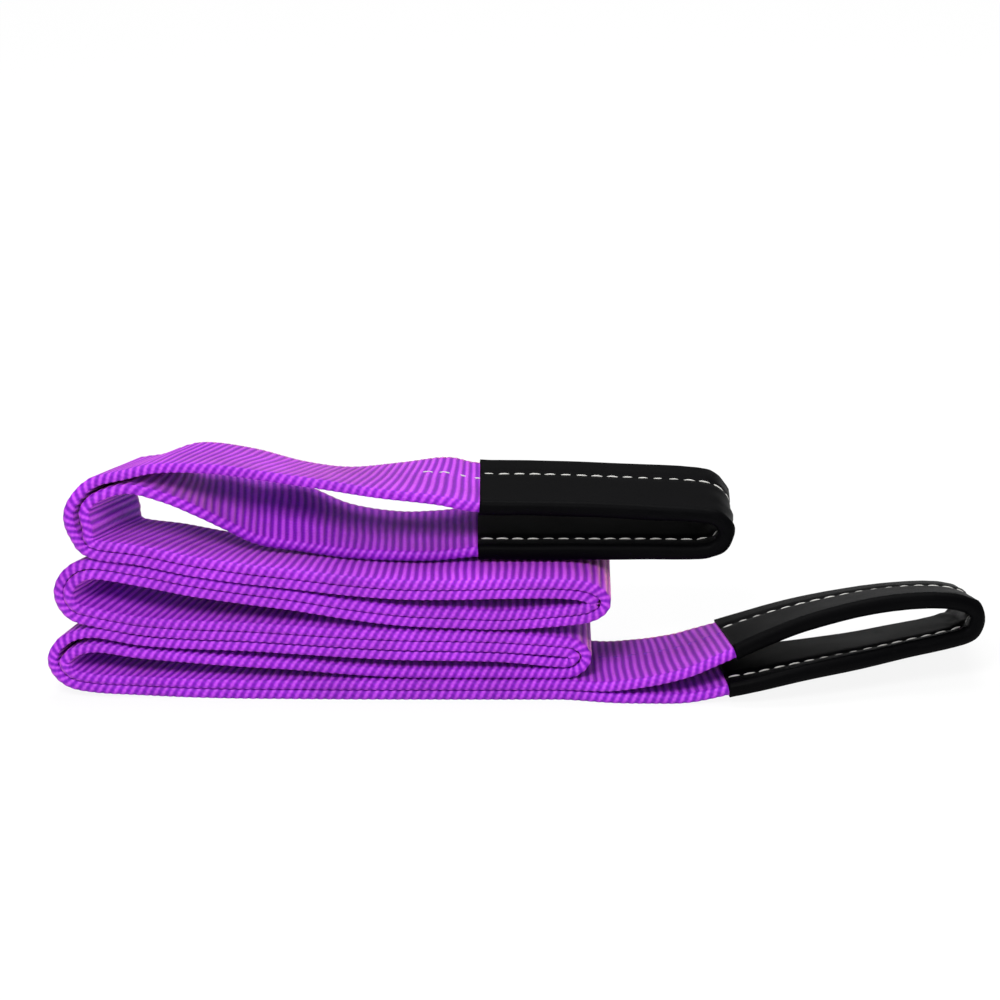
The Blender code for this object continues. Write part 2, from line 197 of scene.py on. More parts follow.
CREASE_CELLS = (330, 90, 130)  # slanted creases where an eye turns
CREASE_HEIGHT = 0.55 * MM
FULL_CREASE_TURN = 120  # how sharply an eye turns where the creases are deepest, in radians for each metre
FACES_APART = 40 * MM  # between the patterns on a sleeve's two faces
NYLON_YARN = (0.9 * MM, 0.45 * MM)  # one float of the nylon's weave, along and across
NYLON_RELIEF = 0.06 * MM
NYLON_PATCH = 12.5 * MM
STITCH_PITCH = 4.05 * MM
STITCH_LENGTH = 3.1 * MM
STITCH_WIDTH = 0.62 * MM
STITCH_HEIGHT = 0.45 * MM
SEAM_INSET = 3  # sections of the sleeve that its seams leave bare at each end
SEAM_STEP = 0.5 * MM
TOP_SEAM_LENGTH = 14 * MM
BOTTOM_SEAM_LENGTH = 34 * MM
THREAD_TWIST = 0.34907 * MM
THREAD_RELIEF = 0.05 * MM
CURVE_STEPS = 24  # points on each stretch between two route rows
TUCK = 6 * MM  # how far the ribbed web reaches into a sleeve
RIB_SEED = 11.0
SLEEVE_SEEDS = {"top_eye": 2.0, "bottom_eye": 9.0}

# Which nodes of the CAD model each strip of web stands for. The plies change sides at every fold.
STRIP_NODES = {
    "bottom_eye_bight": ("bottom_eye_web",),
    "inner_ply": (
        "throat_upper_ply",
        "run_1_upper_ply",
        "fold_1_inner_ply",
        "run_2_lower_ply",
        "fold_2_outer_ply",
        "run_3_upper_ply",
        "fold_3_inner_ply",
        "run_4_lower_ply",
        "fold_4_outer_ply",
        "run_5_upper_ply",
        "fold_5_inner_ply",
        "run_6_lower_ply",
    ),
    "top_eye_bight": ("top_eye_web",),
    "outer_ply": (
        "run_6_upper_ply",
        "fold_5_outer_ply",
        "run_5_lower_ply",
        "fold_4_inner_ply",
        "run_4_upper_ply",
        "fold_3_outer_ply",
        "run_3_lower_ply",
        "fold_2_inner_ply",
        "run_2_upper_ply",
        "fold_1_outer_ply",
        "run_1_lower_ply",
        "throat_lower_ply",
    ),
}


# ---------------------------------------------------------------- the route's paths
def smooth(rows, steps=CURVE_STEPS):
    """A Catmull-Rom curve through the rows, with a row at each original one."""
    rows = np.array(rows, float)
    ends = np.vstack([2 * rows[0] - rows[1], rows, 2 * rows[-1] - rows[-2]])
    t = (np.arange(steps) / steps)[:, None]
    out = []
    for i in range(1, len(ends) - 2):
        before, here, after, beyond = ends[i - 1 : i + 3]
        bend = (2 * before - 5 * here + 4 * after - beyond) * t**2
        twist = (3 * here - before - 3 * after + beyond) * t**3
        out.append(0.5 * (2 * here + (after - before) * t + bend + twist))
    out.append(ends[-2][None])
    return np.vstack(out)


def path_of(rows, closed=False):
    """A path from rows of x, y, z, rise and skew: its middle, unit width and unit normal."""
    middle = rows[:, :3]
    rise = rows[:, 3]
    skew = rows[:, 4]
    depth = np.sqrt(WEB_WIDTH**2 - rise**2 - skew**2)
    width = np.stack([skew, depth, rise], axis=1) / WEB_WIDTH
    if closed:
        tangent = np.roll(middle, -1, axis=0) - np.roll(middle, 1, axis=0)
    else:
        tangent = np.gradient(middle, axis=0)
    normal = np.cross(width, tangent)
    normal /= np.linalg.norm(normal, axis=1)[:, None]
    return np.hstack([middle, width, normal])


def stack_rows():
    """Each run's middle line at the stations, from the bottom run up, and each run's top."""
    top = np.zeros(len(STATIONS))
    level = np.zeros(len(STATIONS))
    below = level
    lines = []
    for number, run in enumerate(RUNS):
        loose = np.array(LOOSE.get(run, level)) * MM
        rise = np.array(RISE.get(run, level)) * MM
        clear = TOUCH if number else 0.0
        below = below if number else rise
        bottom = top + clear + np.array(OPENINGS[run]) * MM + np.abs(rise - below) / 2
        thickness = DUPLEX + loose
        rows = np.zeros((len(STATIONS), 6))
        rows[:, 0] = np.array(STATIONS) * MM
        rows[:, 1] = PLACE_Y[run] * MM
        rows[:, 2] = bottom + thickness / 2
        rows[:, 3] = rise
        rows[:, 4] = np.array(SKEW) * MM
        rows[:, 5] = (PLY + TOUCH + loose) / 2
        lines.append(rows)
        top = bottom + thickness
        below = rise
    return lines, top


def fold_rows(low, high, reach):
    """Three rows round a fold, from the end of one run to the end of the next."""
    rows = []
    for turn in (45, 90, 135):
        share = (1 - math.cos(math.radians(turn))) / 2
        row = low + (high - low) * share
        row[0] += reach * math.sin(math.radians(turn))
        rows.append(row)
    return rows


def stack_plies():
    """The rows of the stack's two plies, from run 1's right end to run 5's left end, and run 5's top."""
    lines, top = stack_rows()
    route = []
    for number, line in enumerate(lines):
        rows = line if number % 2 else line[::-1]
        route.extend(rows)
        if number < len(lines) - 1:
            after = lines[number + 1]
            start = after[0] if number % 2 == 0 else after[-1]
            reach = FOLD_REACH["fold_%d" % (number + 1)] * MM
            route.extend(fold_rows(rows[-1].copy(), start.copy(), reach))
    heading = route[-1].copy()
    heading[0] = (FOLD_5_INNER[0][0] + FOLD_5_OUTER[-1][0]) / 2 * MM
    heading[2] = top[0] + (FOLD_5_INNER[0][1] + FOLD_5_OUTER[-1][1]) / 2 * MM
    route.append(heading)
    fine = smooth(route)
    path = path_of(fine)
    plies = []
    for side in (1, -1):
        ply = fine[:, :5].copy()
        ply[:, :3] += side * path[:, 6:] * fine[:, 5:]
        plies.append(ply[:-CURVE_STEPS])
    return plies[0], plies[1], top


def top_loop_rows(top):
    """Fold 5's inner ply, the last run, the top eye and fold 5's outer ply."""

    def free(rows):
        return [
            (x * MM, share * TOP_EYE_SETBACK, top[0] + z * MM, rise * MM, skew * MM)
            for x, z, share, rise, skew in rows
        ]

    def resting(rows):
        stations = np.array(STATIONS) * MM
        out = []
        for x, gap, share, rise, skew in rows:
            below = np.interp(x * MM, stations, top)
            z = below + TOUCH + PLY / 2 + gap * MM + abs(rise) * MM / 2
            out.append((x * MM, share * TOP_EYE_SETBACK, z, rise * MM, skew * MM))
        return out

    lower_z = top[-1] + TOUCH + LEG / 2 + TOP_EYE_LIFT
    legs = [x * MM for x in TOP_EYE_STATIONS]
    rows = free(FOLD_5_INNER) + free(RUN_6_LOWER_FREE) + resting(RUN_6_LOWER_RESTING)
    eye_start = len(rows)
    rows += [(x, TOP_EYE_SETBACK, lower_z, 0.0, 0.0) for x in legs]
    upper_z = lower_z + TOP_EYE_HEIGHT
    upper_leg = [
        (x, TOP_EYE_SETBACK, upper_z - sag * MM, 0.0, 0.0) for x, sag in zip(legs, TOP_EYE_SAG)
    ]
    tip_height = upper_leg[-1][2] - lower_z
    for turn in (45, 90, 135):
        share = (1 - math.cos(math.radians(turn))) / 2
        x = legs[-1] + TOP_EYE_TIP_REACH * MM * math.sin(math.radians(turn))
        rows.append((x, TOP_EYE_SETBACK, lower_z + tip_height * share, 0.0, TIP_SKEW * share))
    rows += upper_leg[::-1]
    eye_end = len(rows) - 1
    rows += free(RUN_6_UPPER) + free(FOLD_5_OUTER)
    return rows, eye_start, eye_end


def bottom_loop_rows():
    """The throat's lower ply, the bottom eye and the throat's upper ply."""

    def placed(rows, ground):
        return [(x * MM, y * MM, ground + z * MM, rise * MM, skew * MM) for x, y, z, rise, skew in rows]

    low = PLY / 2
    high = low + PLY + TOUCH
    rows = placed(THROAT_LOWER, low)
    eye_start = len(rows)
    rows += placed(BOTTOM_LOWER_LEG, THREAD_THICKNESS + TOUCH + LEG / 2)
    rows += placed(BOTTOM_UPPER_LEG, high)
    eye_end = len(rows) - 1
    rows += placed(THROAT_UPPER, high)
    return rows, eye_start, eye_end


def joined(start, rows, end):
    """The smooth rows of a loop that leaves one ply and runs into another, without its two ends."""
    fine = smooth([start[0], start[1]] + rows + [end[0], end[1]])
    return fine[CURVE_STEPS + 1 : -CURVE_STEPS - 1]


def whole_route():
    """The whole web as one closed path, and the places along it where each eye starts and ends."""
    left, right, top = stack_plies()
    step = CURVE_STEPS
    bottom, bottom_start, bottom_end = bottom_loop_rows()
    upper, top_start, top_end = top_loop_rows(top)
    bottom_fine = joined((right[step], right[0]), bottom, (left[0], left[step]))
    top_fine = joined((left[-1 - step], left[-1]), upper, (right[-1], right[-1 - step]))
    first = len(bottom_fine)
    second = first + len(left)
    marks = {
        "bottom_eye": ((bottom_start + 1) * step - 1, (bottom_end + 1) * step - 1),
        "top_eye": (second + (top_start + 1) * step - 1, second + (top_end + 1) * step - 1),
    }
    rows = np.vstack([bottom_fine, left, top_fine, right[::-1]])
    return path_of(rows, closed=True), marks


def along_path(path):
    """The length along the path at each of its points."""
    steps = np.linalg.norm(np.diff(path[:, :3], axis=0), axis=1)
    return np.concatenate([[0.0], np.cumsum(steps)])


def resampled(path, lengths, places):
    """The path at the given lengths along it."""
    out = np.stack([np.interp(places, lengths, column) for column in path.T], axis=1)
    for first in (3, 6):
        out[:, first : first + 3] /= np.linalg.norm(out[:, first : first + 3], axis=1)[:, None]
    return out


# ---------------------------------------------------------------- small tools
def linear(code):
    """A hex sRGB colour as linear RGBA."""
    values = [int(code[i : i + 2], 16) / 255 for i in (1, 3, 5)]
    curve = [v / 12.92 if v <= 0.04045 else ((v + 0.055) / 1.055) ** 2.4 for v in values]
    return (*curve, 1.0)


def node(tree, kind, inputs=None, **settings):
    """Adds a node, sets its settings, and sets or links its inputs."""
    made = tree.nodes.new(kind)
    for name, value in settings.items():
        setattr(made, name, value)
    for socket, value in (inputs or {}).items():
        target = made.inputs[socket]
        if isinstance(value, bpy.types.NodeSocket):
            tree.links.new(value, target)
        else:
            target.default_value = value
    return made


def material_tree(name):
    """A new material and its empty node tree."""
    material = bpy.data.materials.new(name)
    material.use_nodes = True
    tree = material.node_tree
    tree.nodes.clear()
    return material, tree


def new_object(name, points, faces, uvs=None, floats=None):
    """A mesh object from arrays of points and quads, with a UV map and point attributes."""
    mesh = bpy.data.meshes.new(name)
    mesh.from_pydata(points.tolist(), [], faces.tolist())
    if uvs is not None:
        layer = mesh.uv_layers.new(name="UVMap")
        layer.data.foreach_set("uv", np.asarray(uvs, np.float32).ravel())
    for key, values in (floats or {}).items():
        attribute = mesh.attributes.new(key, "FLOAT", "POINT")
        attribute.data.foreach_set("value", np.asarray(values, np.float32))
    mesh.update()
    obj = bpy.data.objects.new(name, mesh)
    bpy.context.scene.collection.objects.link(obj)
    return obj


def geometry_tree(name, sizes):
    """A Geometry Nodes tree with a geometry input, named sizes and a material input."""
    tree = bpy.data.node_groups.new(name, "GeometryNodeTree")
    face = tree.interface
    face.new_socket("Geometry", in_out="INPUT", socket_type="NodeSocketGeometry")
    for size in sizes:
        face.new_socket(size, in_out="INPUT", socket_type="NodeSocketFloat")
    face.new_socket("Material", in_out="INPUT", socket_type="NodeSocketMaterial")
    face.new_socket("Geometry", in_out="OUTPUT", socket_type="NodeSocketGeometry")
    return tree, tree.nodes.new("NodeGroupInput").outputs


def finish_tree(tree, geometry, material):
    """Ends a tree in Realize Instances, smooth shading and Set Material."""
    real = node(tree, "GeometryNodeRealizeInstances", {"Geometry": geometry})
    shade = node(tree, "GeometryNodeSetShadeSmooth", {"Geometry": real.outputs[0]})
    painted = node(tree, "GeometryNodeSetMaterial", {"Geometry": shade.outputs[0], "Material": material})
    node(tree, "NodeGroupOutput", {"Geometry": painted.outputs[0]})


def bake_tree(obj, tree, values):
    """Runs a Geometry Nodes tree on an object and keeps its result as a plain mesh."""
    modifier = obj.modifiers.new(tree.name, "NODES")
    modifier.node_group = tree
    for item in tree.interface.items_tree:
        if item.item_type == "SOCKET" and item.in_out == "INPUT" and item.name in values:
            modifier[item.identifier] = values[item.name]
    graph = bpy.context.evaluated_depsgraph_get()
    mesh = bpy.data.meshes.new_from_object(obj.evaluated_get(graph))
    obj.modifiers.remove(modifier)
    obj.data = mesh
    return obj


def tube_faces(sections, around, closed_ends=True):
    """Quads of a tube of rings, and its two end faces as fans of quads across the ring."""
    ring = np.arange(around)
    after = (ring + 1) % around
    base = (np.arange(sections - 1) * around)[:, None]
    faces = np.stack(
        [base + ring, base + after, base + around + after, base + around + ring], axis=2
    ).reshape(-1, 4)
    if not closed_ends:
        return faces
    half = around // 2
    caps = []
    last = (sections - 1) * around
    for i in range(half - 1):
        quad = [i, i + 1, around - 2 - i, around - 1 - i]
        caps.append(quad[::-1])
        caps.append([last + q for q in quad])
    return np.vstack([faces, caps])


# ---------------------------------------------------------------- the web's shape
def web_section():
    """One ply's cross-section: across, through, its rib's lag in pitches, and its share of the relief."""
    half = WEB_WIDTH / 2
    edge = (PLY + PLUMP) / 2
    points = []
    for side in (1, -1):
        for i in range(FACE_POINTS):
            across = side * (2 * i / (FACE_POINTS - 1) - 1) * (half - edge)
            lag = 0.5 - 0.5 * side
            points.append((across, side * edge, lag, 1.0))
        for i in (1, 2, 3):
            out, up = math.cos(math.radians(90 - 45 * i)), math.sin(math.radians(90 - 45 * i))
            across = side * (half - edge + edge * out**EDGE_SQUARENESS)
            through = side * edge * math.copysign(abs(up) ** EDGE_SQUARENESS, up)
            points.append((across, through, lag + 0.25 * i, EDGE_RELIEF))
    return np.array(points)


def noise_over(along, across, cells, seed):
    """Noise at each place on the web."""
    values = [noise.noise(Vector((a * cells[0], b * cells[1], seed))) for a, b in zip(along, across)]
    return np.array(values)


def web_strip(name, path, lengths, start, end):
    """A stretch of one ply as a smooth closed band, sampled in step with its ribs."""
    first = round(start / RIB_PITCH)
    last = round(end / RIB_PITCH)
    places = np.arange(first * SECTIONS_PER_RIB, last * SECTIONS_PER_RIB + 1) / SECTIONS_PER_RIB * RIB_PITCH
    rows = resampled(path, lengths, places)
    section = web_section()
    middle, wide, normal = rows[:, None, :3], rows[:, None, 3:6], rows[:, None, 6:]
    points = middle + wide * section[None, :, 0:1] + normal * section[None, :, 1:2]
    count = len(section)
    faces = tube_faces(len(rows), count)
    along = np.repeat(places, count)
    across = np.tile(section[:, 0], len(rows))
    uvs = np.stack([along, across], axis=1)[faces.ravel()]
    waver = noise_over(along, across, WAVER_CELLS, RIB_SEED)
    uneven = noise_over(along, across, UNEVEN_CELLS, RIB_SEED + 5)
    floats = {
        "phase": along / RIB_PITCH + np.tile(section[:, 2], len(rows)) + WAVER * waver,
        "relief": np.tile(section[:, 3], len(rows)) * (1 + UNEVEN * uneven),
    }
    piece = new_object(name, points.reshape(-1, 3) + SHIFT, faces, uvs, floats)
    return piece, float(places[-1] - places[0])


def rib_tree():
    """Raises the weft ribs of a smooth band, round its edges too, and keeps how high each point lies."""
    tree, socket = geometry_tree("weft_ribs", ("Rib Height",))
    phase = node(tree, "GeometryNodeInputNamedAttribute", {"Name": "phase"}, data_type="FLOAT")
    relief = node(tree, "GeometryNodeInputNamedAttribute", {"Name": "relief"}, data_type="FLOAT")
    angle = node(tree, "ShaderNodeMath", {0: phase.outputs[0], 1: math.tau}, operation="MULTIPLY")
    wave = node(tree, "ShaderNodeMath", {0: angle.outputs[0]}, operation="COSINE")
    share = node(
        tree, "ShaderNodeMath", {0: wave.outputs[0], 1: 0.5, 2: 0.5}, operation="MULTIPLY_ADD"
    )
    plump = node(tree, "ShaderNodeMath", {0: share.outputs[0], 1: RIB_PLUMPNESS}, operation="POWER")
    sunk = node(tree, "ShaderNodeMath", {0: plump.outputs[0], 1: RIB_CROWN}, operation="SUBTRACT")
    high = node(tree, "ShaderNodeMath", {0: sunk.outputs[0], 1: socket["Rib Height"]}, operation="MULTIPLY")
    lift = node(tree, "ShaderNodeMath", {0: high.outputs[0], 1: relief.outputs[0]}, operation="MULTIPLY")
    normal = node(tree, "GeometryNodeInputNormal")
    move = node(
        tree, "ShaderNodeVectorMath", {0: normal.outputs[0], "Scale": lift.outputs[0]}, operation="SCALE"
    )
    moved = node(
        tree, "GeometryNodeSetPosition", {"Geometry": socket["Geometry"], "Offset": move.outputs[0]}
    )
    # The kept rib height drives the painted shade in the grooves and the painted light on the crowns in the
    # web's material.
    kept = node(
        tree,
        "GeometryNodeStoreNamedAttribute",
        {"Geometry": moved.outputs[0], "Name": "rib", "Value": share.outputs[0]},
        data_type="FLOAT",
        domain="POINT",
    )
    finish_tree(tree, kept.outputs[0], socket["Material"])
    return tree


# ---------------------------------------------------------------- the sleeves' shape
def sleeve_section():
    """A flat tube's cross-section: across, through, and the face that each point belongs to."""
    half = WEB_WIDTH / 2 + SLEEVE_GROWTH
    points = []
    for side in (1, -1):
        for i in range(SLEEVE_FACE_POINTS):
            across = side * (2 * i / (SLEEVE_FACE_POINTS - 1) - 1) * (half - SLEEVE_EDGE)
            points.append((across, side * LEG / 2, side))
        for i in range(1, 6):
            turn = math.radians(90 - 30 * i)
            across = side * (half - SLEEVE_EDGE + SLEEVE_EDGE * math.cos(turn))
            points.append((across, side * LEG / 2 * math.sin(turn), side * math.sin(turn)))
    return np.array(points)


def sleeve_shape(rows, places, seed):
    """The fabric's points round each section: a seam drawn in, loose channels beside it, and creases."""
    section = sleeve_section()
    turning = np.linalg.norm(np.gradient(rows[:, 6:], axis=0), axis=1) / np.gradient(places)
    bend = np.clip(turning / FULL_CREASE_TURN, 0, 1)
    seam = np.where(section[:, 2] > 0, OUTER_SEAM, INNER_SEAM)
    drawn = np.exp(-(((section[:, 0] - seam) / SEAM_DRAW) ** 2))
    points = np.zeros((len(rows), len(section), 3))
    for s, (row, place) in enumerate(zip(rows, places)):
        for k, (across, through, face) in enumerate(section):
            slack_at = (place * SLACK_CELLS[0] + seed, across * SLACK_CELLS[1] + seed, 4.0 * face)
            pucker_at = (place * PUCKER_CELLS[0] + seed, across * PUCKER_CELLS[1], 9.0 * face)
            slant = place * CREASE_CELLS[0] + across * CREASE_CELLS[1]
            crease_at = (slant, across * CREASE_CELLS[2] + seed, 5.0 * face)
            slack = SLACK_HEIGHT * noise.noise(Vector(slack_at))
            pucker = PUCKER_HEIGHT * noise.noise(Vector(pucker_at)) * drawn[k]
            crease = CREASE_HEIGHT * noise.noise(Vector(crease_at)) * bend[s]
            height = through * (1 - SEAM_DEPTH * drawn[k]) + face * (slack + pucker + crease)
            points[s, k] = row[:3] + row[3:6] * across + row[6:] * height
    return points


def sleeve_object(name, path, lengths, start, end, seed):
    """A wear sleeve: a closed tube wall with open ends, outside and inside."""
    places = np.arange(start, end, SLEEVE_STEP)
    rows = resampled(path, lengths, places)
    outer = sleeve_shape(rows, places, seed)
    centre = rows[:, None, :3]
    wide = rows[:, None, 3:6]
    normal = rows[:, None, 6:]
    away = outer - centre
    across = np.sum(away * wide, axis=2, keepdims=True)
    through = np.sum(away * normal, axis=2, keepdims=True)
    thin_across = 1 - SLEEVE_WALL / (WEB_WIDTH / 2 + SLEEVE_GROWTH)
    thin_through = 1 - SLEEVE_WALL / (LEG / 2)
    inner = centre + wide * across * thin_across + normal * through * thin_through
    count = outer.shape[1]
    sections = len(rows)
    outer_faces = tube_faces(sections, count, closed_ends=False)
    inner_faces = outer_faces[:, ::-1] + sections * count
    inside = sections * count
    last = inside - count
    rims = []
    for i in range(count):
        j = (i + 1) % count
        rims.append([i, inside + i, inside + j, j])
        rims.append([last + j, inside + last + j, inside + last + i, last + i])
    faces = np.vstack([outer_faces, inner_faces, rims])
    points = np.vstack([outer.reshape(-1, 3), inner.reshape(-1, 3)]) + SHIFT
    girth = across[:, :, 0].ravel() + np.sign(through[:, :, 0].ravel()) * FACES_APART
    along = np.repeat(places, count)
    uv_points = np.stack([np.tile(along, 2), np.tile(girth, 2)], axis=1)
    uvs = uv_points[faces.ravel()]
    obj = new_object(name, points, faces, uvs)
    for polygon in obj.data.polygons:
        polygon.use_smooth = True
    return obj, rows


# ---------------------------------------------------------------- threads
def stitch_mesh(name, length, width, height):
    """One stitch: a low rounded bar that dips at both ends, with few faces."""
    sections = 7
    around = 8
    points = []
    for s in range(sections):
        share = s / (sections - 1)
        x = (share - 0.5) * length
        arch = math.sin(math.pi * share)
        size = 0.45 + 0.55 * arch**0.5
        for k in range(around):
            turn = k / around * math.tau
            y = width / 2 * size * math.cos(turn)
            z = height / 2 * size * math.sin(turn) + height * 0.35 * (arch - 0.6)
            points.append((x, y, z))
    faces = tube_faces(sections, around)
    return new_object(name, np.array(points), faces)


def stitch_tree():
    """Sets one stitch at every pitch of a line, lying along it with its back to the cloth."""
    tree, socket = geometry_tree("stitch_row", ("Pitch",))
    tree.interface.new_socket("Stitch", in_out="INPUT", socket_type="NodeSocketObject")
    curve = node(tree, "GeometryNodeMeshToCurve", {"Mesh": socket["Geometry"]})
    spaced = node(
        tree,
        "GeometryNodeResampleCurve",
        {"Curve": curve.outputs[0], "Length": socket["Pitch"]},
        mode="LENGTH",
    )
    stitch = node(tree, "GeometryNodeObjectInfo", {"Object": socket["Stitch"]})
    tangent = node(tree, "GeometryNodeInputTangent")
    up = node(tree, "GeometryNodeInputNamedAttribute", {"Name": "up"}, data_type="FLOAT_VECTOR")
    lie = node(tree, "FunctionNodeAlignRotationToVector", {"Vector": tangent.outputs[0]}, axis="X")
    roll = node(
        tree,
        "FunctionNodeAlignRotationToVector",
        {"Rotation": lie.outputs[0], "Vector": up.outputs[0]},
        axis="Z",
        pivot_axis="X",
    )
    rows = node(
        tree,
        "GeometryNodeInstanceOnPoints",
        {"Points": spaced.outputs[0], "Instance": stitch.outputs["Geometry"], "Rotation": roll.outputs[0]},
    )
    finish_tree(tree, rows.outputs[0], socket["Material"])
    return tree


def line_object(name, points, ups):
    """A line of edges with an up direction at each point."""
    mesh = bpy.data.meshes.new(name)
    edges = [(i, i + 1) for i in range(len(points) - 1)]
    mesh.from_pydata(points.tolist(), edges, [])
    attribute = mesh.attributes.new("up", "FLOAT_VECTOR", "POINT")
    attribute.data.foreach_set("vector", np.asarray(ups, np.float32).ravel())
    obj = bpy.data.objects.new(name, mesh)
    bpy.context.scene.collection.objects.link(obj)
    return obj


def stitch_row(name, rows, across, height, material):
    """A row of stitches along a path, at a height over the web's middle."""
    points = rows[:, :3] + rows[:, 3:6] * across + rows[:, 6:] * height + SHIFT
    ups = rows[:, 6:] * np.sign(height)
    line = line_object(name, points, ups)
    return bake_tree(line, STITCH_TREE, {"Pitch": STITCH_PITCH, "Stitch": STITCH, "Material": material})


# ---------------------------------------------------------------- materials
def violet_web():
    """Woven polyester webbing, dyed violet: plump shiny weft ribs with painted shade in the grooves between
    them and painted light on their crowns, and fine warp lines.
    """
    material, tree = material_tree("violet_polyester_webbing")
    uv = node(tree, "ShaderNodeUVMap", uv_map="UVMap")
    parts = node(tree, "ShaderNodeSeparateXYZ", {"Vector": uv.outputs[0]})
    rib = node(tree, "ShaderNodeAttribute", attribute_name="rib")
    place = node(tree, "ShaderNodeTexCoord")
    patches = node(
        tree,
        "ShaderNodeTexNoise",
        {"Vector": place.outputs["Object"], "Scale": 1 / DYE_PATCH, "Detail": 3.0, "Roughness": 0.6},
    )
    fibres = node(
        tree,
        "ShaderNodeTexNoise",
        {"Vector": place.outputs["Object"], "Scale": 1 / FIBRE_SIZE, "Detail": 2.0, "Roughness": 0.7},
    )
    # Painted shade and light: by the rib height, this ramp darkens the grooves between the ribs and
    # lightens the rib crowns, as shade and light would.
    depth = node(tree, "ShaderNodeValToRGB", {"Fac": rib.outputs["Fac"]})
    stops = depth.color_ramp.elements
    stops[0].position = 0.15
    stops[0].color = linear("#7014a6")
    stops[1].position = 0.85
    stops[1].color = linear("#b846da")
    middle = stops.new(0.5)
    middle.color = linear("#9424c6")
    tone = node(
        tree,
        "ShaderNodeMapRange",
        {
            "Value": patches.outputs["Fac"],
            "From Min": 0.3,
            "From Max": 0.7,
            "To Min": 0.84,
            "To Max": 1.12,
        },
    )
    grain = node(
        tree,
        "ShaderNodeMapRange",
        {
            "Value": fibres.outputs["Fac"],
            "From Min": 0.2,
            "From Max": 0.8,
            "To Min": 0.82,
            "To Max": 1.16,
        },
    )
    value = node(tree, "ShaderNodeMath", {0: tone.outputs[0], 1: grain.outputs[0]}, operation="MULTIPLY")
    colour = node(
        tree, "ShaderNodeHueSaturation", {"Color": depth.outputs[0], "Value": value.outputs[0]}
    )
    warp = node(
        tree,
        "ShaderNodeMath",
        {0: parts.outputs["Y"], 1: math.tau / WARP_PITCH},
        operation="MULTIPLY",
    )
    warp_wave = node(tree, "ShaderNodeMath", {0: warp.outputs[0]}, operation="SINE")
    relief = node(
        tree, "ShaderNodeMath", {0: warp_wave.outputs[0], 1: fibres.outputs["Fac"]}, operation="ADD"
    )
    bump = node(
        tree, "ShaderNodeBump", {"Height": relief.outputs[0], "Strength": 0.35, "Distance": FIBRE_RELIEF}
    )
    rough = node(
        tree, "ShaderNodeMapRange", {"Value": fibres.outputs["Fac"], "To Min": 0.42, "To Max": 0.66}
    )
    shader = node(
        tree,
        "ShaderNodeBsdfPrincipled",
        {
            "Base Color": colour.outputs[0],
            "Roughness": rough.outputs[0],
            "Normal": bump.outputs[0],
            "Sheen Weight": 0.75,
            "Sheen Roughness": 0.3,
            "Sheen Tint": linear("#ffa2b0"),
            "Specular IOR Level": 0.14,
        },
    )
    node(tree, "ShaderNodeOutputMaterial", {"Surface": shader.outputs[0]})
    return material


def black_sleeve():
    """Close-woven black nylon: nearly black, with a low silky shine that shows its creases."""
    material, tree = material_tree("black_woven_nylon")
    uv = node(tree, "ShaderNodeUVMap", uv_map="UVMap")
    place = node(tree, "ShaderNodeTexCoord")
    weave = node(
        tree,
        "ShaderNodeTexBrick",
        {
            "Vector": uv.outputs[0],
            "Color1": (1, 1, 1, 1),
            "Color2": (0.75, 0.75, 0.75, 1),
            "Mortar": (0, 0, 0, 1),
            "Scale": 1 / MM,
            "Mortar Size": 0.08,
            "Brick Width": NYLON_YARN[0] / MM,
            "Row Height": NYLON_YARN[1] / MM,
        },
    )
    patches = node(
        tree,
        "ShaderNodeTexNoise",
        {"Vector": place.outputs["Object"], "Scale": 1 / NYLON_PATCH, "Detail": 4.0},
    )
    tint = node(tree, "ShaderNodeMix", {0: patches.outputs["Fac"]}, data_type="RGBA")
    tint.inputs["A"].default_value = linear("#010102")
    tint.inputs["B"].default_value = linear("#050506")
    bump = node(
        tree,
        "ShaderNodeBump",
        {"Height": weave.outputs["Color"], "Strength": 0.35, "Distance": NYLON_RELIEF},
    )
    rough = node(
        tree, "ShaderNodeMapRange", {"Value": patches.outputs["Fac"], "To Min": 0.45, "To Max": 0.6}
    )
    shader = node(
        tree,
        "ShaderNodeBsdfPrincipled",
        {
            "Base Color": tint.outputs["Result"],
            "Roughness": rough.outputs[0],
            "Normal": bump.outputs[0],
            "Specular IOR Level": 0.03,
        },
    )
    node(tree, "ShaderNodeOutputMaterial", {"Surface": shader.outputs[0]})
    return material


def thread_material(name, code):
    """Twisted polyester sewing thread: matt, with a fine twist."""
    material, tree = material_tree(name)
    place = node(tree, "ShaderNodeTexCoord")
    turns = math.tau / 20 / THREAD_TWIST  # a wave texture of scale 1 has a wave every tau / 20
    twist = node(
        tree,
        "ShaderNodeTexWave",
        {"Vector": place.outputs["Object"], "Scale": turns, "Distortion": 2.0},
    )
    bump = node(
        tree,
        "ShaderNodeBump",
        {"Height": twist.outputs["Fac"], "Strength": 0.3, "Distance": THREAD_RELIEF},
    )
    shader = node(
        tree,
        "ShaderNodeBsdfPrincipled",
        {"Base Color": linear(code), "Roughness": 0.7, "Normal": bump.outputs[0]},
    )
    node(tree, "ShaderNodeOutputMaterial", {"Surface": shader.outputs[0]})
    return material


